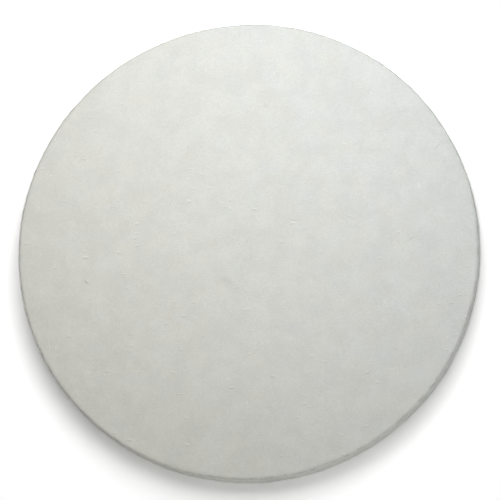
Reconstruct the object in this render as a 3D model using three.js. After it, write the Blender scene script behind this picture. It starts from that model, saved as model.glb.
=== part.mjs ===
// A floor polishing pad: one thick round of lofty white fibre web, die-cut from a wide roll.
// It lies flat. The lower face rests on the floor and the upper face takes the machine's pad driver.
// Millimetres, +Z up, with the origin at the centre of the lower face.

import * as THREE from "three";

// The stock: the round's size and the height of the web that it is cut from
const padDiameter = 432;
const padThickness = 25;

// The cut edge. The die enters through the upper face and draws its fibres down,
// so that shoulder is the rounder one. The squeezed web springs back behind the knife,
// which leaves the wall a little slimmer at its waist.
const upperShoulder = 2.6;
const lowerShoulder = 1.6;
const waistDepth = 0.7;

// How finely the round and its section are faceted
const turns = 144;
const sectionSteps = 6;

// Half of the pad's section, from the axis along the lower face, up the wall and back along the upper face.
function padSection() {
  const rim = padDiameter / 2;
  const wallFoot = lowerShoulder;
  const wallHead = padThickness - upperShoulder;
  const section = new THREE.Path();
  section.moveTo(0, 0);
  section.lineTo(rim - lowerShoulder, 0);
  section.absarc(rim - lowerShoulder, wallFoot, lowerShoulder, -Math.PI / 2, 0, false);
  // A quadratic curve reaches half-way to its handle, so the handle lies two waist depths in.
  section.quadraticCurveTo(rim - 2 * waistDepth, (wallFoot + wallHead) / 2, rim, wallHead);
  section.absarc(rim - upperShoulder, wallHead, upperShoulder, 0, Math.PI / 2, false);
  section.lineTo(0, padThickness);
  return section.getPoints(sectionSteps);
}

// The web itself: the section turned once round the pad's axis, and stood up along +Z.
function webRound() {
  const geometry = new THREE.LatheGeometry(padSection(), turns);
  geometry.rotateX(Math.PI / 2);
  const whiteFibre = new THREE.MeshStandardMaterial({ color: 0xdfe0da, roughness: 0.95, metalness: 0 });
  const web = new THREE.Mesh(geometry, whiteFibre);
  web.name = "fibre_web_pad";
  return web;
}

const pad = new THREE.Group();
pad.add(webRound());

export default pad;
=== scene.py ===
# The looks of a floor polishing pad: a thick die-cut round of lofty white fibre web.
# Metres, +Z up, with the pad lying flat on the floor and centred on the Z axis.

import math

import bpy
from mathutils import Matrix, Vector


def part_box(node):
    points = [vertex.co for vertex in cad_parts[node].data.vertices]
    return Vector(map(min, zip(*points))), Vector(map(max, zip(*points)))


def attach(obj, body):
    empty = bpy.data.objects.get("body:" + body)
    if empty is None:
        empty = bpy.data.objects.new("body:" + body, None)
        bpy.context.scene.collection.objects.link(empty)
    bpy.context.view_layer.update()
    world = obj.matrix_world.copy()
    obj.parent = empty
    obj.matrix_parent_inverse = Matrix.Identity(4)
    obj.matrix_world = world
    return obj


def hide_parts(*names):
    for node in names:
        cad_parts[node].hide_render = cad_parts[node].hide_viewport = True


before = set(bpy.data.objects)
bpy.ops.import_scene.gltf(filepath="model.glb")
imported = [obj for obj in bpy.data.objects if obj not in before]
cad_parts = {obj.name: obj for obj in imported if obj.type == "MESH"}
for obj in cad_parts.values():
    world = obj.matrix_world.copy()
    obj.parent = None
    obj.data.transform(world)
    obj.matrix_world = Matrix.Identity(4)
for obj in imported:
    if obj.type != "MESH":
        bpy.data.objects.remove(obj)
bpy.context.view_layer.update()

MM = 0.001
WEB_NODE = "fibre_web_pad"
WEB_BODY = "root"

# The pad's die-cut form, as the frame gives it
web_low, web_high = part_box(WEB_NODE)
RIM = (web_high.x - web_low.x) / 2
THICKNESS = web_high.z - web_low.z
UPPER_SHOULDER = 2.6 * MM
LOWER_SHOULDER = 1.6 * MM
WAIST_DEPTH = 0.7 * MM

# The web's mesh: rings on the faces, each with six more points than the last, and levels down the cut edge
FACE_RINGS = 118
UPPER_SHOULDER_STEPS = 3
WALL_STEPS = 12
LOWER_SHOULDER_STEPS = 2

# The photograph: its side, and where the upper face, its crease and its pit lie in it, in pixels
PHOTO_SIDE = 500
FACE_CENTRE = (248.6, 251.9)
FACE_LENGTH = 463
CREASE_PLACE = (226, 283)
PIT_PLACE = (265, 106)

# The camera: its lean from straight above, the way that it leans, and its long lens
LEAN_FROM_PLUMB = math.radians(11.8)
LEAN_TOWARDS = math.radians(299.4)
SENSOR = 36 * MM
LENS = 400 * MM

# The crease's turn in plan, and its length for its width
CREASE_TURN = math.radians(26)
CREASE_STRETCH = 2.2

# The shade in the crease and in the pit: each one's half width, and its length for its width
CREASE_SHADE_HALF_WIDTH = 8 * MM
CREASE_SHADE_STRETCH = 2.0
PIT_SHADE_HALF_WIDTH = 3 * MM
PIT_SHADE_STRETCH = 1.5

# The even glow of the studio, and how much brighter than paper the camera sees its floor
GLOW = 0.06
FLOOR_GAIN = 1.7

# The floor: how far it reaches, how far it tucks in under the pad, and how far the shadow may spread
FLOOR_REACH = 4.0
FLOOR_TUCK = 1.5 * MM
SHADOW_REACH = 60 * MM
FLOOR_SIDES = 128

# The tangle: its layers of fibres. Each runs this much round from the last, so that no two ever lie alike,
# and takes its pattern from a place that lies this far from the last one's.
TANGLE_LAYERS = 5
GOLDEN_TURN = math.pi * (3 - math.sqrt(5))
LAYER_SHIFT = (1.3, 2.1, 0.7)

# Each fibre's own length, as the least and the most share of the length that is asked for
LAID_LENGTHS = (0.5, 1.3)
CUT_LENGTHS = (0.25, 1.0)

# Each fibre's own share of the rise. The power makes most fibres lie low and a few stand proud.
RISE_SHARES = (0.3, 1.0)
RISE_POWER = 3.0

# How deep a laid fibre's ends sink, as a share of its thickness,
# and how deep a cut end's root lies, as a share of its length
LAID_SINK = 0.6
CUT_ROOT = 0.3

# The spread of the fibres' own numbers, so wide that neighbours don't bend alike
PHASE_SPREAD = 500.0

# Where a fibre begins to taper, as a share of its length from its middle, and where it ends
TAPER_FROM = 0.3
FIBRE_END = 0.5

# How level a surface is where it counts as a face, and where it counts as the wall
FACE_LEVEL = 0.9
WALL_LEVEL = 0.2

# How much of the shade shows between the fibres, under the flecks, in the crease and in the pit
SHADE_BETWEEN_FIBRES = 0.33
SHADE_UNDER_FLECKS = 0.6
SHADE_IN_CREASE = 0.25
SHADE_IN_PIT = 0.3

# How much higher a fleck stands than the fibres round it
FLECK_RAISE = 4.0

# Where the thin painted dark ring of shade on the upper shoulder lies, as a share of the upper shoulder's
# height from the top
SHADE_RING_DEPTH = 0.6

# Colours, in linear light
FIBRE_WHITE = (0.81, 0.818, 0.767, 1)
FIBRE_COOL = (0.795, 0.818, 0.80, 1)
FIBRE_WARM = (0.82, 0.812, 0.74, 1)
STRAND_WHITE = (0.9, 0.905, 0.87, 1)
FIBRE_SHADE = (0.52, 0.52, 0.48, 1)
PAPER_WHITE = (1, 1, 1, 1)
PAPER_UNDER_LIGHT = (0.8, 0.8, 0.8, 1)

# The middle colour of a noise, which stands for no move at all
MID_GREY = (0.5, 0.5, 0.5)


def add_node(tree, kind, inputs=None, **fields):
    """One node. inputs maps a socket's name or number to a value, or to the socket that feeds it."""
    node = tree.nodes.new(kind)
    for field, value in fields.items():
        setattr(node, field, value)
    for key, value in (inputs or {}).items():
        if isinstance(value, bpy.types.NodeSocket):
            tree.links.new(value, node.inputs[key])
        else:
            node.inputs[key].default_value = value
    return node


def maths(tree, operation, *values, clamp=False):
    """The result of one Math node."""
    node = add_node(tree, "ShaderNodeMath", dict(enumerate(values)), operation=operation, use_clamp=clamp)
    return node.outputs[0]


def vectors(tree, operation, *values):
    """The result of one Vector Math node."""
    node = add_node(tree, "ShaderNodeVectorMath", dict(enumerate(values)), operation=operation)
    return node.outputs["Value" if operation in ("LENGTH", "DOT_PRODUCT", "DISTANCE") else "Vector"]


def scaled(tree, vector, factor):
    """A vector times a number."""
    node = add_node(tree, "ShaderNodeVectorMath", {0: vector, "Scale": factor}, operation="SCALE")
    return node.outputs["Vector"]


def ramp(tree, value, start, end, low=0.0, high=1.0):
    """A number carried smoothly from low to high as value goes from start to end."""
    node = add_node(
        tree,
        "ShaderNodeMapRange",
        {"Value": value, "From Min": start, "From Max": end, "To Min": low, "To Max": high},
        interpolation_type="SMOOTHSTEP",
    )
    return node.outputs["Result"]


def new_tree(name, kind, inputs, outputs):
    """A node group with named sockets, and the sockets of its two end nodes."""
    tree = bpy.data.node_groups.new(name, kind)
    for label, socket_kind, value in inputs:
        socket = tree.interface.new_socket(label, in_out="INPUT", socket_type="NodeSocket" + socket_kind)
        if value is not None:
            socket.default_value = value
    for label, socket_kind in outputs:
        tree.interface.new_socket(label, in_out="OUTPUT", socket_type="NodeSocket" + socket_kind)
    return tree, tree.nodes.new("NodeGroupInput").outputs, tree.nodes.new("NodeGroupOutput").inputs


def apply_tree(name, mesh, tree, settings):
    """A new piece: the plain mesh that a Geometry Nodes tree makes out of the given one."""
    carrier = bpy.data.objects.new(name, mesh)
    bpy.context.scene.collection.objects.link(carrier)
    modifier = carrier.modifiers.new(tree.name, "NODES")
    modifier.node_group = tree
    for item in tree.interface.items_tree:
        if item.in_out == "INPUT" and item.name in settings:
            modifier[item.identifier] = settings[item.name]
    shaped = carrier.evaluated_get(bpy.context.evaluated_depsgraph_get())
    made = bpy.data.meshes.new_from_object(shaped)
    carrier.modifiers.remove(modifier)
    carrier.data = made
    made.name = name
    return carrier


def section_levels():
    """Radius and height of each ring down the cut edge, from the upper face's rim to the lower's."""
    head = THICKNESS - UPPER_SHOULDER
    foot = LOWER_SHOULDER
    levels = []
    for step in range(UPPER_SHOULDER_STEPS):
        turn = math.pi / 2 * (1 - step / UPPER_SHOULDER_STEPS)
        radius = RIM - UPPER_SHOULDER * (1 - math.cos(turn))
        levels.append((radius, head + UPPER_SHOULDER * math.sin(turn)))
    for step in range(WALL_STEPS):
        share = step / WALL_STEPS
        waist = 4 * WAIST_DEPTH * share * (1 - share)
        levels.append((RIM - waist, head + (foot - head) * share))
    for step in range(LOWER_SHOULDER_STEPS + 1):
        turn = math.pi / 2 * step / LOWER_SHOULDER_STEPS
        radius = RIM - LOWER_SHOULDER * (1 - math.cos(turn))
        levels.append((radius, foot - LOWER_SHOULDER * math.sin(turn)))
    return levels


def ring_points(radius, height, count):
    """Points evenly round the pad's axis."""
    turns = [2 * math.pi * i / count for i in range(count)]
    return [(radius * math.cos(turn), radius * math.sin(turn), height) for turn in turns]


def face_triangles(inner, outer, ring, facing_up):
    """Triangles between a face's ring and the next one out. inner and outer are their first points."""
    inner_count = max(1, 6 * (ring - 1))
    outer_count = 6 * ring
    triangles = []
    for sector in range(6):
        for i in range(ring):
            a = outer + sector * ring + i
            b = outer + (sector * ring + i + 1) % outer_count
            c = inner + (sector * (ring - 1) + i) % inner_count
            triangles.append((a, b, c))
            if i < ring - 1:
                d = inner + (sector * (ring - 1) + i + 1) % inner_count
                triangles.append((c, b, d))
    return triangles if facing_up else [(c, b, a) for a, b, c in triangles]


def round_mesh():
    """The closed die-cut round, in triangles of nearly one size all over."""
    points = []
    triangles = []
    levels = section_levels()

    def add_ring(radius, height, count):
        first = len(points)
        points.extend(ring_points(radius, height, count))
        return first

    face_edge, upper_height = levels[0]
    inner = add_ring(0, upper_height, 1)
    for ring in range(1, FACE_RINGS + 1):
        outer = add_ring(face_edge * ring / FACE_RINGS, upper_height, 6 * ring)
        triangles += face_triangles(inner, outer, ring, facing_up=True)
        inner = outer

    around = 6 * FACE_RINGS
    upper = inner
    for radius, height in levels[1:]:
        lower = add_ring(radius, height, around)
        for i in range(around):
            j = (i + 1) % around
            triangles.append((upper + i, lower + i, lower + j))
            triangles.append((upper + i, lower + j, upper + j))
        upper = lower

    foot_edge, lower_height = levels[-1]
    outer = upper
    for ring in range(FACE_RINGS, 0, -1):
        inner = add_ring(foot_edge * (ring - 1) / FACE_RINGS, lower_height, max(1, 6 * (ring - 1)))
        triangles += face_triangles(inner, outer, ring, facing_up=False)
        outer = inner

    mesh = bpy.data.meshes.new("die_cut_round")
    mesh.from_pydata(points, [], triangles)
    mesh.shade_smooth()
    return mesh


def noise_height(tree, place, size, height, seed):
    """Soft lumps of a given size, that stand as much above the surface as below it."""
    per_size = maths(tree, "DIVIDE", 1.0, size)
    lumps = add_node(
        tree,
        "ShaderNodeTexNoise",
        {"Vector": place, "W": seed, "Scale": per_size, "Detail": 1.0, "Roughness": 0.5},
        noise_dimensions="4D",
    )
    centred = maths(tree, "SUBTRACT", lumps.outputs["Fac"], 0.5)
    return maths(tree, "MULTIPLY", centred, maths(tree, "MULTIPLY", height, 2.0))


def hollow(tree, place, centre, turn, half_width, stretch):
    """One at a centre and nothing beyond its half width, in a shape that may be longer one way."""
    turned = add_node(
        tree,
        "ShaderNodeVectorRotate",
        {"Vector": vectors(tree, "SUBTRACT", place, centre), "Angle": turn},
        rotation_type="Z_AXIS",
    )
    rounded = vectors(tree, "MULTIPLY", turned.outputs[0], (1 / stretch, 1.0, 1.0))
    return ramp(tree, vectors(tree, "LENGTH", rounded), half_width, 0.0)


def relief_tree():
    """Gives the smooth round its lofty surface: swells, tufts, strand ridges, a short crease and a pit."""
    tree, given, result = new_tree(
        "lofty_relief",
        "GeometryNodeTree",
        [
            ("Web", "Geometry", None),
            ("Swell Size", "Float", 0.05),
            ("Swell Height", "Float", 0.0003),
            ("Tuft Size", "Float", 0.01),
            ("Tuft Height", "Float", 0.0003),
            ("Ridge Size", "Float", 0.004),
            ("Ridge Height", "Float", 0.0002),
            ("Layer Flattening", "Float", 3.0),
            ("Wall Roughness", "Float", 2.0),
            ("Crease Place", "Vector", (0, 0, 0)),
            ("Crease Turn", "Float", 0.0),
            ("Crease Half Width", "Float", 0.003),
            ("Crease Depth", "Float", 0.001),
            ("Pit Place", "Vector", (0, 0, 0)),
            ("Pit Half Width", "Float", 0.0025),
            ("Pit Depth", "Float", 0.001),
            ("Lowest Height", "Float", 0.0),
            ("Seed", "Float", 0.0),
        ],
        [("Web", "Geometry")],
    )
    place = tree.nodes.new("GeometryNodeInputPosition").outputs["Position"]
    normal = tree.nodes.new("GeometryNodeInputNormal").outputs["Normal"]
    flattened = add_node(tree, "ShaderNodeCombineXYZ", {0: 1.0, 1: 1.0, 2: given["Layer Flattening"]})
    layered = vectors(tree, "MULTIPLY", place, flattened.outputs[0])
    swell = noise_height(tree, place, given["Swell Size"], given["Swell Height"], given["Seed"])
    tufts = noise_height(tree, layered, given["Tuft Size"], given["Tuft Height"], given["Seed"])
    ridges = noise_height(tree, layered, given["Ridge Size"], given["Ridge Height"], given["Seed"])
    facing = maths(tree, "ABSOLUTE", add_node(tree, "ShaderNodeSeparateXYZ", {0: normal}).outputs["Z"])
    rougher = ramp(tree, facing, FACE_LEVEL, WALL_LEVEL, 1.0, given["Wall Roughness"])
    height = maths(tree, "ADD", maths(tree, "ADD", swell, tufts), maths(tree, "MULTIPLY", ridges, rougher))

    crease_width = given["Crease Half Width"]
    crease = hollow(tree, place, given["Crease Place"], given["Crease Turn"], crease_width, CREASE_STRETCH)
    pit = hollow(tree, place, given["Pit Place"], 0.0, given["Pit Half Width"], 1.0)
    height = maths(tree, "SUBTRACT", height, maths(tree, "MULTIPLY", crease, given["Crease Depth"]))
    height = maths(tree, "SUBTRACT", height, maths(tree, "MULTIPLY", pit, given["Pit Depth"]))

    offset = scaled(tree, normal, height)
    moved = add_node(tree, "GeometryNodeSetPosition", {"Geometry": given["Web"], "Offset": offset})
    settled = settle_on_floor(tree, moved.outputs["Geometry"], given["Lowest Height"])
    tree.links.new(settled, result["Web"])
    return tree


def settle_on_floor(tree, geometry, lowest):
    """Nothing reaches lower than the given height: what would is pressed flat there."""
    place = tree.nodes.new("GeometryNodeInputPosition").outputs["Position"]
    parts = add_node(tree, "ShaderNodeSeparateXYZ", {0: place}).outputs
    height = maths(tree, "MAXIMUM", parts["Z"], lowest)
    settled = add_node(tree, "ShaderNodeCombineXYZ", {0: parts["X"], 1: parts["Y"], 2: height})
    moved = add_node(tree, "GeometryNodeSetPosition", {"Geometry": geometry, "Position": settled.outputs[0]})
    return moved.outputs["Geometry"]


def random_number(tree, low, high, seed, identity=None):
    """A random number for each element."""
    inputs = {2: low, 3: high, "Seed": seed}
    if identity is not None:
        inputs["ID"] = identity
    return add_node(tree, "FunctionNodeRandomValue", inputs, data_type="FLOAT").outputs[1]


def laid_rotation(tree, normal, swing):
    """Stands on the surface, with X level along it and then swung by an angle about the normal."""
    level = vectors(tree, "CROSS_PRODUCT", (0.0, 0.0, 1.0), normal)
    upright = add_node(
        tree,
        "FunctionNodeAxesToRotation",
        {"Primary Axis": normal, "Secondary Axis": level},
        primary_axis="Z",
        secondary_axis="X",
    )
    turned = add_node(tree, "FunctionNodeAxisAngleToRotation", {"Axis": (0.0, 0.0, 1.0), "Angle": swing})
    both = add_node(
        tree,
        "FunctionNodeRotateRotation",
        {"Rotation": upright.outputs[0], "Rotate By": turned.outputs[0]},
        rotation_space="LOCAL",
    )
    return both.outputs[0]


def chosen_spots(tree, given):
    """Random points on that part of the web whose faces tilt between two limits, and their normals."""
    normal = tree.nodes.new("GeometryNodeInputNormal").outputs["Normal"]
    tilt = add_node(tree, "ShaderNodeSeparateXYZ", {0: normal}).outputs["Z"]
    above = maths(tree, "GREATER_THAN", tilt, given["Tilt From"])
    below = maths(tree, "LESS_THAN", tilt, given["Tilt To"])
    spots = add_node(
        tree,
        "GeometryNodeDistributePointsOnFaces",
        {
            "Mesh": given["Web"],
            "Selection": maths(tree, "MULTIPLY", above, below),
            "Density": given["Fibres per Square Metre"],
            "Seed": given["Seed"],
        },
        distribute_method="RANDOM",
    )
    return spots.outputs["Points"], spots.outputs["Normal"]


def swept_fibres(tree, curves, given, blunt):
    """Closed fibres along the curves, with the material on them. blunt is how thick their ends stay."""
    along = tree.nodes.new("GeometryNodeSplineParameter").outputs["Factor"]
    from_middle = maths(tree, "ABSOLUTE", maths(tree, "SUBTRACT", along, 0.5))
    taper = ramp(tree, from_middle, TAPER_FROM, FIBRE_END, 1.0, blunt)
    round_profile = add_node(
        tree,
        "GeometryNodeCurvePrimitiveCircle",
        {"Resolution": given["Sides"], "Radius": maths(tree, "MULTIPLY", given["Thickness"], 0.5)},
        mode="RADIUS",
    )
    swept = add_node(
        tree,
        "GeometryNodeCurveToMesh",
        {"Curve": curves, "Profile Curve": round_profile.outputs["Curve"], "Scale": taper, "Fill Caps": True},
    )
    soft = add_node(
        tree,
        "GeometryNodeSetShadeSmooth",
        {"Geometry": swept.outputs["Mesh"], "Shade Smooth": True},
    )
    whole = add_node(tree, "GeometryNodeRealizeInstances", {"Geometry": soft.outputs["Geometry"]})
    coated = add_node(
        tree,
        "GeometryNodeSetMaterial",
        {"Geometry": whole.outputs["Geometry"], "Material": given["Material"]},
    )
    return coated.outputs["Geometry"]


def straight_fibre(tree, start, end, count):
    """A straight curve between two places, with a number of points that can be moved."""
    line = add_node(tree, "GeometryNodeCurvePrimitiveLine", {"Start": start, "End": end}).outputs["Curve"]
    return add_node(tree, "GeometryNodeResampleCurve", {"Curve": line, "Count": count}).outputs["Curve"]


def draped_fibre_tree():
    """Lays crimped fibres on the web: each follows it, dips into it at its ends and rises between."""
    tree, given, result = new_tree(
        "draped_fibres",
        "GeometryNodeTree",
        [
            ("Web", "Geometry", None),
            ("Fibres per Square Metre", "Float", 1000.0),
            ("Length", "Float", 0.018),
            ("Thickness", "Float", 0.0002),
            ("Sides", "Int", 3),
            ("Points", "Int", 8),
            ("Crimp Size", "Float", 0.004),
            ("Crimp Reach", "Float", 0.0015),
            ("Bend Size", "Float", 0.02),
            ("Bend Reach", "Float", 0.006),
            ("Rise", "Float", 0.0005),
            ("Swing", "Float", math.pi),
            ("Tilt From", "Float", -2.0),
            ("Tilt To", "Float", 2.0),
            ("Lowest Height", "Float", 0.0),
            ("Seed", "Int", 0),
            ("Material", "Material", None),
        ],
        [("Fibres", "Geometry")],
    )
    spots, normal = chosen_spots(tree, given)
    half = maths(tree, "MULTIPLY", given["Length"], 0.5)
    back = maths(tree, "MULTIPLY", half, -1.0)
    fibre = straight_fibre(
        tree,
        add_node(tree, "ShaderNodeCombineXYZ", {0: back}).outputs[0],
        add_node(tree, "ShaderNodeCombineXYZ", {0: half}).outputs[0],
        given["Points"],
    )
    swing = random_number(tree, maths(tree, "MULTIPLY", given["Swing"], -1.0), given["Swing"], given["Seed"])
    longer = random_number(tree, *LAID_LENGTHS, maths(tree, "ADD", given["Seed"], 1.0))
    scattered = add_node(
        tree,
        "GeometryNodeInstanceOnPoints",
        {
            "Points": spots,
            "Instance": fibre,
            "Rotation": laid_rotation(tree, normal, swing),
            "Scale": add_node(tree, "ShaderNodeCombineXYZ", {0: longer, 1: 1.0, 2: 1.0}).outputs[0],
        },
    )
    loose = add_node(tree, "GeometryNodeRealizeInstances", {"Geometry": scattered.outputs["Instances"]})

    own_number = tree.nodes.new("GeometryNodeCurveOfPoint").outputs["Curve Index"]
    own_phase = random_number(tree, 0.0, PHASE_SPREAD, maths(tree, "ADD", given["Seed"], 2.0), own_number)
    place = tree.nodes.new("GeometryNodeInputPosition").outputs["Position"]
    sway = vectors(
        tree,
        "ADD",
        wander(tree, place, given["Crimp Size"], given["Crimp Reach"], own_phase),
        wander(tree, place, given["Bend Size"], given["Bend Reach"], own_phase),
    )
    straight = loose.outputs["Geometry"]
    crimped = add_node(tree, "GeometryNodeSetPosition", {"Geometry": straight, "Offset": sway})

    along = tree.nodes.new("GeometryNodeSplineParameter").outputs["Factor"]
    arch = maths(tree, "SINE", maths(tree, "MULTIPLY", along, math.pi))
    own_share = random_number(tree, *RISE_SHARES, maths(tree, "ADD", given["Seed"], 3.0), own_number)
    own_arch = maths(tree, "MULTIPLY", arch, maths(tree, "POWER", own_share, RISE_POWER))
    sunk = maths(tree, "MULTIPLY", given["Thickness"], -LAID_SINK)
    lift = maths(tree, "ADD", maths(tree, "MULTIPLY", own_arch, given["Rise"]), sunk)
    draped = drape(tree, crimped.outputs["Geometry"], given["Web"], lift)
    settled = settle_on_floor(tree, draped, given["Lowest Height"])
    tree.links.new(swept_fibres(tree, settled, given, blunt=0.45), result["Fibres"])
    return tree


def wander(tree, place, size, reach, phase):
    """A sideways move that changes smoothly along each fibre."""
    waves = add_node(
        tree,
        "ShaderNodeTexNoise",
        {"Vector": place, "W": phase, "Scale": maths(tree, "DIVIDE", 1.0, size), "Detail": 0.0},
        noise_dimensions="4D",
    )
    centred = vectors(tree, "SUBTRACT", waves.outputs["Color"], MID_GREY)
    return scaled(tree, centred, maths(tree, "MULTIPLY", reach, 2.0))


def drape(tree, curves, web, lift):
    """Brings each point of the curves to the web's nearest place, lifted off it along its normal."""
    place = tree.nodes.new("GeometryNodeInputPosition").outputs["Position"]
    nearest = add_node(
        tree,
        "GeometryNodeProximity",
        {"Target": web, "Source Position": place},
        target_element="FACES",
    )
    normal = tree.nodes.new("GeometryNodeInputNormal").outputs["Normal"]
    under = add_node(
        tree,
        "GeometryNodeSampleNearestSurface",
        {"Mesh": web, "Value": normal, "Sample Position": place},
        data_type="FLOAT_VECTOR",
    )
    target = vectors(tree, "ADD", nearest.outputs["Position"], scaled(tree, under.outputs["Value"], lift))
    moved = add_node(tree, "GeometryNodeSetPosition", {"Geometry": curves, "Position": target})
    return moved.outputs["Geometry"]


def cut_end_tree():
    """Stands short cut ends of fibre out of the web: each leans and curls its own way."""
    tree, given, result = new_tree(
        "cut_fibre_ends",
        "GeometryNodeTree",
        [
            ("Web", "Geometry", None),
            ("Fibres per Square Metre", "Float", 1000.0),
            ("Length", "Float", 0.002),
            ("Thickness", "Float", 0.0002),
            ("Sides", "Int", 3),
            ("Points", "Int", 4),
            ("Lean", "Float", 0.8),
            ("Curl Size", "Float", 0.002),
            ("Curl Reach", "Float", 0.0006),
            ("Tilt From", "Float", -2.0),
            ("Tilt To", "Float", 2.0),
            ("Lowest Height", "Float", 0.0),
            ("Seed", "Int", 0),
            ("Material", "Material", None),
        ],
        [("Fibres", "Geometry")],
    )
    spots, normal = chosen_spots(tree, given)
    root = maths(tree, "MULTIPLY", given["Length"], -CUT_ROOT)
    fibre = straight_fibre(
        tree,
        add_node(tree, "ShaderNodeCombineXYZ", {2: root}).outputs[0],
        add_node(tree, "ShaderNodeCombineXYZ", {2: given["Length"]}).outputs[0],
        given["Points"],
    )
    swing = random_number(tree, -math.pi, math.pi, given["Seed"])
    lean = random_number(tree, 0.0, given["Lean"], maths(tree, "ADD", given["Seed"], 1.0))
    leaning = add_node(tree, "FunctionNodeAxisAngleToRotation", {"Axis": (1.0, 0.0, 0.0), "Angle": lean})
    rotation = add_node(
        tree,
        "FunctionNodeRotateRotation",
        {"Rotation": laid_rotation(tree, normal, swing), "Rotate By": leaning.outputs[0]},
        rotation_space="LOCAL",
    )
    longer = random_number(tree, *CUT_LENGTHS, maths(tree, "ADD", given["Seed"], 2.0))
    scattered = add_node(
        tree,
        "GeometryNodeInstanceOnPoints",
        {
            "Points": spots,
            "Instance": fibre,
            "Rotation": rotation.outputs[0],
            "Scale": add_node(tree, "ShaderNodeCombineXYZ", {0: 1.0, 1: 1.0, 2: longer}).outputs[0],
        },
    )
    loose = add_node(tree, "GeometryNodeRealizeInstances", {"Geometry": scattered.outputs["Instances"]})
    own_number = tree.nodes.new("GeometryNodeCurveOfPoint").outputs["Curve Index"]
    own_phase = random_number(tree, 0.0, PHASE_SPREAD, maths(tree, "ADD", given["Seed"], 3.0), own_number)
    place = tree.nodes.new("GeometryNodeInputPosition").outputs["Position"]
    curl = wander(tree, place, given["Curl Size"], given["Curl Reach"], own_phase)
    straight = loose.outputs["Geometry"]
    curled = add_node(tree, "GeometryNodeSetPosition", {"Geometry": straight, "Offset": curl})
    settled = settle_on_floor(tree, curled.outputs["Geometry"], given["Lowest Height"])
    tree.links.new(swept_fibres(tree, settled, given, blunt=0.7), result["Fibres"])
    return tree


def mottling_group():
    """Soft cloudy patches, where the web is denser or thinner, and a slow drift from warm to cool white."""
    tree, given, result = new_tree(
        "web_mottling",
        "ShaderNodeTree",
        [
            ("Fibre Colour", "Color", FIBRE_WHITE),
            ("Cool Colour", "Color", FIBRE_COOL),
            ("Warm Colour", "Color", FIBRE_WARM),
            ("Patches per Metre", "Float", 45.0),
            ("Thin Patch Darkening", "Float", 0.05),
            ("Dense From", "Float", 0.65),
            ("Thin From", "Float", 0.35),
            ("Patch Tint", "Float", 0.8),
            ("Patch Shift", "Vector", (3.0, 5.0, 7.0)),
            ("Drift", "Vector", (1.7, 1.0, 0.0)),
            ("Full Cool At", "Float", 0.5),
            ("Full Warm At", "Float", -0.5),
        ],
        [("Colour", "Color")],
    )
    place = add_node(tree, "ShaderNodeTexCoord").outputs["Object"]
    per_metre = given["Patches per Metre"]
    clouds = add_node(
        tree,
        "ShaderNodeTexNoise",
        {"Vector": place, "Scale": per_metre, "Detail": 3.0, "Roughness": 0.6},
    )
    thin = ramp(tree, clouds.outputs["Fac"], given["Dense From"], given["Thin From"])

    elsewhere = vectors(tree, "ADD", place, given["Patch Shift"])
    patches = add_node(tree, "ShaderNodeTexNoise", {"Vector": elsewhere, "Scale": per_metre, "Detail": 1.0})
    from_middle = maths(tree, "SUBTRACT", patches.outputs["Fac"], 0.5)
    patch_tint = maths(tree, "MULTIPLY", from_middle, given["Patch Tint"])
    tint = maths(tree, "ADD", vectors(tree, "DOT_PRODUCT", place, given["Drift"]), patch_tint)
    coolness = ramp(tree, tint, 0.0, given["Full Cool At"])
    warmth = ramp(tree, tint, 0.0, given["Full Warm At"])
    cool = mixed(tree, coolness, given["Fibre Colour"], given["Cool Colour"])
    warm = mixed(tree, warmth, cool, given["Warm Colour"])
    darker = maths(tree, "SUBTRACT", 1.0, maths(tree, "MULTIPLY", thin, given["Thin Patch Darkening"]))
    tree.links.new(scaled(tree, warm, darker), result["Colour"])
    return tree


def mixed(tree, factor, first, second):
    """Two colours mixed."""
    node = add_node(tree, "ShaderNodeMix", {0: factor, 6: first, 7: second}, data_type="RGBA")
    return node.outputs[2]


def tangle_group():
    """Crimped fibres that cross each other in layers: bright winding lines, and the deeper the dimmer, which
    the finish paints as shade.
    """
    tree, given, result = new_tree(
        "fibre_tangle",
        "ShaderNodeTree",
        [
            ("Loops per Metre", "Float", 500.0),
            ("Fibre Width", "Float", 0.07),
            ("Run", "Float", 3.0),
            ("Layer Flattening", "Float", 1.5),
        ],
        [("Fibres", "Float")],
    )
    place = add_node(tree, "ShaderNodeTexCoord").outputs["Object"]
    longer = maths(tree, "DIVIDE", 1.0, given["Run"])
    squeeze = add_node(tree, "ShaderNodeCombineXYZ", {0: longer, 1: 1.0, 2: given["Layer Flattening"]})
    fibres = 0.0
    for layer in range(TANGLE_LAYERS):
        turned = add_node(
            tree,
            "ShaderNodeVectorRotate",
            {"Vector": place, "Angle": layer * GOLDEN_TURN},
            rotation_type="Z_AXIS",
        )
        run = vectors(tree, "MULTIPLY", turned.outputs[0], squeeze.outputs[0])
        shift = tuple(layer * step for step in LAYER_SHIFT)
        lines = winding_lines(tree, vectors(tree, "ADD", run, shift), given)
        dimmed = maths(tree, "MULTIPLY", lines, 1 - layer / TANGLE_LAYERS)
        fibres = maths(tree, "MAXIMUM", fibres, dimmed)
    tree.links.new(fibres, result["Fibres"])
    return tree


def winding_lines(tree, place, given):
    """Lines where a noise crosses its middle value, which wind as crimped fibres do."""
    waves = add_node(
        tree,
        "ShaderNodeTexNoise",
        {"Vector": place, "Scale": given["Loops per Metre"], "Detail": 1.0, "Roughness": 0.4},
    )
    from_line = maths(tree, "ABSOLUTE", maths(tree, "SUBTRACT", waves.outputs["Fac"], 0.5))
    return ramp(tree, from_line, given["Fibre Width"], 0.0)


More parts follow.
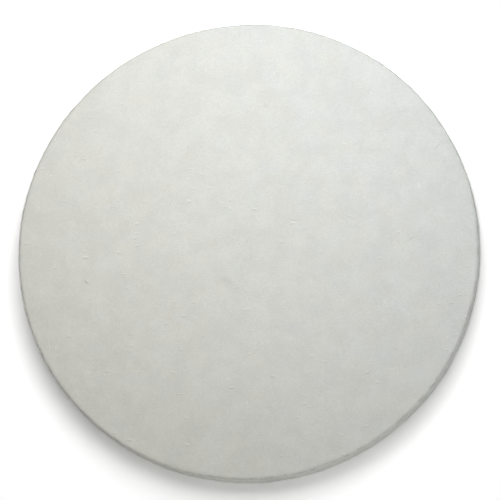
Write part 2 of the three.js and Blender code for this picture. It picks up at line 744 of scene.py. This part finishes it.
def fleck_group():
    """Short stray flecks, laid along the direction in which the web was carded, and fewer on one side."""
    tree, given, result = new_tree(
        "stray_flecks",
        "ShaderNodeTree",
        [
            ("Flecks per Metre", "Float", 135.0),
            ("Half Width", "Float", 0.0005),
            ("Stretch", "Float", 5.0),
            ("Offset", "Vector", (0, 0, 0)),
            ("Bends per Metre", "Float", 90.0),
            ("Bend Reach", "Float", 0.006),
            ("Thinning", "Vector", (1.5, 4.0, 0.0)),
            ("Thinnest At", "Float", 0.8),
            ("Thinnest Share", "Float", 0.15),
        ],
        [("Flecks", "Float")],
    )
    place = add_node(tree, "ShaderNodeTexCoord").outputs["Object"]
    per_metre = given["Bends per Metre"]
    bends = add_node(tree, "ShaderNodeTexNoise", {"Vector": place, "Scale": per_metre, "Detail": 1.0})
    bent = scaled(tree, vectors(tree, "SUBTRACT", bends.outputs["Color"], MID_GREY), given["Bend Reach"])
    longer = maths(tree, "DIVIDE", 1.0, given["Stretch"])
    squeezed = add_node(tree, "ShaderNodeCombineXYZ", {0: longer, 1: 1.0, 2: 1.0})
    moved = vectors(tree, "ADD", vectors(tree, "ADD", place, bent), given["Offset"])
    cells = add_node(
        tree,
        "ShaderNodeTexVoronoi",
        {
            "Vector": vectors(tree, "MULTIPLY", moved, squeezed.outputs[0]),
            "Scale": given["Flecks per Metre"],
            "Randomness": 1.0,
        },
        feature="F1",
    )
    reach = maths(tree, "MULTIPLY", given["Half Width"], given["Flecks per Metre"])
    flecks = ramp(tree, cells.outputs["Distance"], reach, 0.0)
    thinning = vectors(tree, "DOT_PRODUCT", place, given["Thinning"])
    kept = ramp(tree, thinning, given["Thinnest At"], 0.0, given["Thinnest Share"], 1.0)
    tree.links.new(maths(tree, "MULTIPLY", flecks, kept), result["Flecks"])
    return tree


def cut_wall_group():
    """The cut wall's painted shade: in the gaps between the web's layers, and in a thin dark ring on the
    upper shoulder, where the knife entered.
    """
    tree, given, result = new_tree(
        "cut_wall_shade",
        "ShaderNodeTree",
        [
            ("Edge Height", "Float", 0.022),
            ("Edge Width", "Float", 0.0015),
            ("Edge Shade", "Float", 0.05),
            ("Gaps per Metre", "Float", 110.0),
            ("Layer Flattening", "Float", 3.0),
            ("Gap From", "Float", 0.56),
            ("Full Gap At", "Float", 0.36),
            ("Gap Shade", "Float", 0.6),
            ("Face Limit", "Float", 0.2),
            ("Face Margin", "Float", 0.002),
        ],
        [("Shade", "Float")],
    )
    place = add_node(tree, "ShaderNodeTexCoord").outputs["Object"]
    parts = add_node(tree, "ShaderNodeSeparateXYZ", {0: place}).outputs
    # Painted shade: a thin dark ring at the edge's height
    from_edge = maths(tree, "ABSOLUTE", maths(tree, "SUBTRACT", parts["Z"], given["Edge Height"]))
    edge = maths(tree, "MULTIPLY", ramp(tree, from_edge, given["Edge Width"], 0.0), given["Edge Shade"])

    flattened = add_node(tree, "ShaderNodeCombineXYZ", {0: 1.0, 1: 1.0, 2: given["Layer Flattening"]})
    layers = add_node(
        tree,
        "ShaderNodeTexNoise",
        {
            "Vector": vectors(tree, "MULTIPLY", place, flattened.outputs[0]),
            "Scale": given["Gaps per Metre"],
            "Detail": 3.0,
            "Roughness": 0.65,
        },
    )
    # Painted shade in the gaps between the web's layers
    open_share = ramp(tree, layers.outputs["Fac"], given["Gap From"], given["Full Gap At"])
    gaps = maths(tree, "MULTIPLY", open_share, given["Gap Shade"])

    level = add_node(tree, "ShaderNodeCombineXYZ", {0: parts["X"], 1: parts["Y"]})
    from_axis = vectors(tree, "LENGTH", level.outputs[0])
    wall_limit = maths(tree, "ADD", given["Face Limit"], given["Face Margin"])
    on_wall = ramp(tree, from_axis, given["Face Limit"], wall_limit)
    shade = maths(tree, "MULTIPLY", maths(tree, "MAXIMUM", edge, gaps), on_wall)
    tree.links.new(shade, result["Shade"])
    return tree


def placed_group(tree, group, **values):
    """What a group puts out in a material, with its own values. An underscore stands for a space."""
    node = add_node(tree, "ShaderNodeGroup", node_tree=group)
    for label, value in values.items():
        node.inputs[label.replace("_", " ")].default_value = value
    return node.outputs


def new_material(name):
    """A material with a bare Principled surface, and its tree and surface node."""
    material = bpy.data.materials.new(name)
    material.use_nodes = True
    return material, material.node_tree, material.node_tree.nodes["Principled BSDF"]


def fabric_gloss(surface):
    """Dry polyester: hardly any gloss, with a faint sheen from the fibres that stand up."""
    surface.inputs["Roughness"].default_value = 0.92
    surface.inputs["Specular IOR Level"].default_value = 0.25
    surface.inputs["Sheen Weight"].default_value = 0.12
    surface.inputs["Sheen Roughness"].default_value = 0.6


def web_finish(mottling, tangle, flecks, cut_wall):
    """The body of the web: fibres over painted shade, mottled and flecked, with a painted shadow beside each
    fleck, painted shade in the crease and the pit, and painted shade in the cut wall's gaps and along the
    upper shoulder.
    """
    material, tree, surface = new_material("white_web_finish")
    fabric_gloss(surface)
    cloud = placed_group(tree, mottling, Thin_Patch_Darkening=0.05)
    fibres = placed_group(tree, tangle, Loops_per_Metre=900.0, Fibre_Width=0.08)
    slubs = placed_group(tree, flecks, Half_Width=1.0 * MM, Stretch=4.0)
    # The same flecks shifted a little: a painted shadow beside each bright fleck
    fleck_shadows = placed_group(tree, flecks, Half_Width=1.0 * MM, Stretch=4.0, Offset=(0.0, 1.1 * MM, 0.0))
    # Painted shade: a thin dark ring along the upper shoulder, and the gaps in the cut wall
    shade_ring_height = THICKNESS - SHADE_RING_DEPTH * UPPER_SHOULDER
    wall = placed_group(tree, cut_wall, Edge_Height=shade_ring_height, Face_Limit=RIM - UPPER_SHOULDER)
    # Painted shade between the fibres
    open_share = maths(tree, "SUBTRACT", 1.0, fibres["Fibres"])
    between = maths(tree, "MULTIPLY", open_share, SHADE_BETWEEN_FIBRES)
    shaded = mixed(tree, between, cloud["Colour"], FIBRE_SHADE)
    under_flecks = maths(tree, "MULTIPLY", fleck_shadows["Flecks"], SHADE_UNDER_FLECKS)
    fleck_shadowed = mixed(tree, under_flecks, shaded, FIBRE_SHADE)
    flecked = mixed(tree, slubs["Flecks"], fleck_shadowed, STRAND_WHITE)

    place = add_node(tree, "ShaderNodeTexCoord").outputs["Object"]
    crease_centre = photo_place(*CREASE_PLACE)
    pit_centre = photo_place(*PIT_PLACE)
    crease = hollow(tree, place, crease_centre, CREASE_TURN, CREASE_SHADE_HALF_WIDTH, CREASE_SHADE_STRETCH)
    pit = hollow(tree, place, pit_centre, 0.0, PIT_SHADE_HALF_WIDTH, PIT_SHADE_STRETCH)
    in_crease = maths(tree, "MULTIPLY", crease, SHADE_IN_CREASE)
    in_pit = maths(tree, "MULTIPLY", pit, SHADE_IN_PIT)
    marked = mixed(tree, maths(tree, "ADD", in_crease, in_pit), flecked, FIBRE_SHADE)
    darkened = mixed(tree, wall["Shade"], marked, FIBRE_SHADE)

    raised = maths(tree, "ADD", fibres["Fibres"], maths(tree, "MULTIPLY", slubs["Flecks"], FLECK_RAISE))
    relief = add_node(tree, "ShaderNodeBump", {"Strength": 0.6, "Distance": 0.12 * MM, "Height": raised})
    tree.links.new(darkened, surface.inputs["Base Color"])
    tree.links.new(relief.outputs["Normal"], surface.inputs["Normal"])
    return material


def strand_finish(name, mottling, density):
    """Single strands: the web's own white, and the denser the strand, the brighter."""
    material, tree, surface = new_material(name)
    fabric_gloss(surface)
    cloud = placed_group(tree, mottling, Thin_Patch_Darkening=0.03)
    tree.links.new(mixed(tree, density, cloud["Colour"], STRAND_WHITE), surface.inputs["Base Color"])
    return material


def dress(piece):
    """Every piece here is the same web: it rides on the pad's one body."""
    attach(piece, WEB_BODY)


def make_web(material):
    """The body of the pad."""
    web = apply_tree(
        "web_round",
        round_mesh(),
        relief_tree(),
        {
            "Swell Size": 60 * MM,
            "Swell Height": 0.5 * MM,
            "Tuft Size": 12 * MM,
            "Tuft Height": 0.35 * MM,
            "Ridge Size": 5 * MM,
            "Ridge Height": 0.3 * MM,
            "Layer Flattening": 3.0,
            "Wall Roughness": 2.5,
            "Crease Place": photo_place(*CREASE_PLACE),
            "Crease Turn": CREASE_TURN,
            "Crease Half Width": 5 * MM,
            "Crease Depth": 0.9 * MM,
            "Pit Place": photo_place(*PIT_PLACE),
            "Pit Half Width": 3.5 * MM,
            "Pit Depth": 1.2 * MM,
            "Lowest Height": 0.15 * MM,
            "Seed": 4.0,
        },
    )
    web.data.materials.clear()
    web.data.materials.append(material)
    dress(web)
    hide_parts(WEB_NODE)
    return web


def make_fibres(web, material, slub_material):
    """The fibres that lie on both faces and the wall, the cut ends on the wall, and the bonded slubs."""
    draped = draped_fibre_tree()
    laid = {
        "Length": 20 * MM,
        "Thickness": 0.15 * MM,
        "Points": 13,
        "Crimp Size": 4 * MM,
        "Crimp Reach": 1.6 * MM,
        "Bend Size": 14 * MM,
        "Bend Reach": 5 * MM,
        "Rise": 0.45 * MM,
        "Lowest Height": 0.1 * MM,
        "Material": material,
    }
    upper = {**laid, "Fibres per Square Metre": 17000.0, "Tilt From": 0.6, "Seed": 11}
    lower = {**laid, "Fibres per Square Metre": 17000.0, "Tilt To": -0.6, "Seed": 23}
    wall = {
        **laid,
        "Fibres per Square Metre": 55000.0,
        "Swing": 0.4,
        "Bend Reach": 2 * MM,
        "Tilt From": -0.7,
        "Tilt To": 0.7,
        "Seed": 37,
    }
    slubs = {
        **laid,
        "Fibres per Square Metre": 600.0,
        "Length": 6 * MM,
        "Thickness": 0.7 * MM,
        "Sides": 6,
        "Points": 7,
        "Crimp Reach": 0.5 * MM,
        "Bend Reach": 1 * MM,
        "Rise": 0.9 * MM,
        "Lowest Height": 0.36 * MM,
        "Seed": 53,
        "Material": slub_material,
    }
    cut_ends = {
        "Fibres per Square Metre": 150000.0,
        "Length": 2.2 * MM,
        "Thickness": 0.15 * MM,
        "Tilt From": -0.9,
        "Tilt To": 0.9,
        "Lowest Height": 0.1 * MM,
        "Seed": 41,
        "Material": material,
    }
    dress(apply_tree("upper_face_fibres", web.data, draped, upper))
    dress(apply_tree("lower_face_fibres", web.data, draped, lower))
    dress(apply_tree("wall_fibres", web.data, draped, wall))
    dress(apply_tree("bonded_slubs", web.data, draped, slubs))
    dress(apply_tree("wall_cut_ends", web.data, cut_end_tree(), cut_ends))


def camera_stand():
    """The camera's place and turn: it looks down on the pad, a little off plumb, with +Y up the picture."""
    towards = Vector((math.cos(LEAN_TOWARDS), math.sin(LEAN_TOWARDS), 0))
    back = towards * math.sin(LEAN_FROM_PLUMB) + Vector((0, 0, math.cos(LEAN_FROM_PLUMB)))
    right = Vector((0, 1, 0)).cross(back).normalized()
    up = back.cross(right)

    # A pixel's size at the pad, and the distance at which the lens gives it
    pixel = 2 * RIM / FACE_LENGTH
    distance = pixel * PHOTO_SIDE * LENS / SENSOR

    # Perspective carries the middle of the face's outline towards its near side
    depth = RIM * math.sin(LEAN_FROM_PLUMB)
    carried = RIM * depth * distance / (distance**2 - depth**2)
    across = (PHOTO_SIDE / 2 - FACE_CENTRE[0]) * pixel
    upwards = (FACE_CENTRE[1] - PHOTO_SIDE / 2) * pixel
    aim = Vector((across, upwards, THICKNESS)) + towards * carried

    stand = Matrix((right, up, back)).transposed().to_4x4()
    stand.translation = aim + back * distance
    return stand


def photo_place(across, down):
    """The point of the upper face that a pixel of the photograph shows."""
    stand = camera_stand()
    middle = PHOTO_SIDE / 2
    ray = stand.to_3x3() @ Vector((across - middle, middle - down, -PHOTO_SIDE * LENS / SENSOR))
    return stand.translation + ray * (THICKNESS - stand.translation.z) / ray.z


def make_camera():
    """The camera on its stand."""
    camera = bpy.data.cameras.new("camera")
    camera.sensor_width = SENSOR / MM
    camera.lens = LENS / MM
    camera_object = bpy.data.objects.new("camera", camera)
    camera_object.matrix_world = camera_stand()
    bpy.context.scene.collection.objects.link(camera_object)
    bpy.context.scene.camera = camera_object


def make_lamp(name, turn, height, distance, size, power):
    """A square soft lamp that faces the pad's centre and isn't seen itself.

    turn is its direction in plan and height its elevation, both in degrees. Turn 90 is up the picture.
    """
    away = math.cos(math.radians(height))
    place = Vector(
        (
            away * math.cos(math.radians(turn)),
            away * math.sin(math.radians(turn)),
            math.sin(math.radians(height)),
        )
    )
    lamp = bpy.data.lights.new(name, "AREA")
    lamp.shape = "SQUARE"
    lamp.size = size
    lamp.energy = power
    holder = bpy.data.objects.new(name, lamp)
    holder.location = place * distance
    holder.rotation_euler = place.to_track_quat("Z", "Y").to_euler()
    holder.visible_camera = False
    bpy.context.scene.collection.objects.link(holder)


def light_studio():
    """A soft lamp beyond the pad, two low ones on its side, one for its lower face, and an even glow."""
    make_lamp("key_lamp", turn=86, height=62, distance=0.55, size=0.7, power=3.85)
    make_lamp("near_lamp", turn=316, height=6, distance=1.1, size=0.8, power=4.9)
    make_lamp("left_lamp", turn=235, height=6, distance=1.1, size=0.8, power=3.0)
    make_lamp("under_lamp", turn=300, height=-60, distance=1.1, size=0.8, power=10.0)
    world = bpy.data.worlds.new("studio")
    bpy.context.scene.world = world
    world.use_nodes = True
    tree = world.node_tree
    glow = tree.nodes["Background"]
    glow.inputs["Color"].default_value = PAPER_WHITE
    tree.links.new(ramp(tree, seen_directly(tree), 0.0, 1.0, GLOW, 1.0), glow.inputs["Strength"])


def seen_directly(tree):
    """One for rays from the camera, also by way of a mirror or glass, and nothing for the rest."""
    path = tree.nodes.new("ShaderNodeLightPath").outputs
    mirrored = maths(tree, "MAXIMUM", path["Is Glossy Ray"], path["Is Transmission Ray"])
    return maths(tree, "MAXIMUM", path["Is Camera Ray"], mirrored)


def make_floor():
    """White paper round the pad's foot: it keeps the pad's soft shadow and is plain white further out.

    It is open under the pad and clear from below, so that the lower face can be looked at too.
    """
    inner_edge = ring_points(RIM - FLOOR_TUCK, 0, FLOOR_SIDES)
    outer_edge = ring_points(FLOOR_REACH, 0, FLOOR_SIDES)
    quads = []
    for i in range(FLOOR_SIDES):
        j = (i + 1) % FLOOR_SIDES
        quads.append((i, FLOOR_SIDES + i, FLOOR_SIDES + j, j))
    mesh = bpy.data.meshes.new("studio_floor")
    mesh.from_pydata(inner_edge + outer_edge, [], quads)
    floor = bpy.data.objects.new("studio_floor", mesh)
    bpy.context.scene.collection.objects.link(floor)
    mesh.materials.append(floor_finish())


def floor_finish():
    """White paper, over-bright to the camera so that it reads as pure white wherever no shadow falls."""
    material, tree, surface = new_material("studio_floor_finish")
    surface.inputs["Base Color"].default_value = PAPER_UNDER_LIGHT
    surface.inputs["Roughness"].default_value = 0.9
    shadowed = add_node(tree, "ShaderNodeBsdfDiffuse", {"Color": (FLOOR_GAIN, FLOOR_GAIN, FLOOR_GAIN, 1)})
    plain = add_node(tree, "ShaderNodeEmission", {"Color": PAPER_WHITE, "Strength": 1.0})
    from_pad = vectors(tree, "LENGTH", add_node(tree, "ShaderNodeTexCoord").outputs["Object"])
    outside = ramp(tree, from_pad, RIM + SHADOW_REACH, RIM + 2 * SHADOW_REACH)
    seen = mixed_shader(tree, outside, shadowed, plain)
    shown = mixed_shader(tree, seen_directly(tree), surface, seen)
    behind = tree.nodes.new("ShaderNodeNewGeometry").outputs["Backfacing"]
    clear = tree.nodes.new("ShaderNodeBsdfTransparent")
    one_sided = mixed_shader(tree, behind, shown, clear)
    tree.links.new(one_sided.outputs[0], tree.nodes["Material Output"].inputs["Surface"])
    return material


def mixed_shader(tree, factor, first, second):
    """Two surfaces mixed."""
    return add_node(tree, "ShaderNodeMixShader", {0: factor, 1: first.outputs[0], 2: second.outputs[0]})


bpy.context.scene.view_settings.view_transform = "Standard"
make_camera()
light_studio()
make_floor()

mottling = mottling_group()
web = make_web(web_finish(mottling, tangle_group(), fleck_group(), cut_wall_group()))
fibre_finish = strand_finish("white_fibre_finish", mottling, density=0.6)
slub_finish = strand_finish("bonded_slub_finish", mottling, density=1.0)
make_fibres(web, fibre_finish, slub_finish)
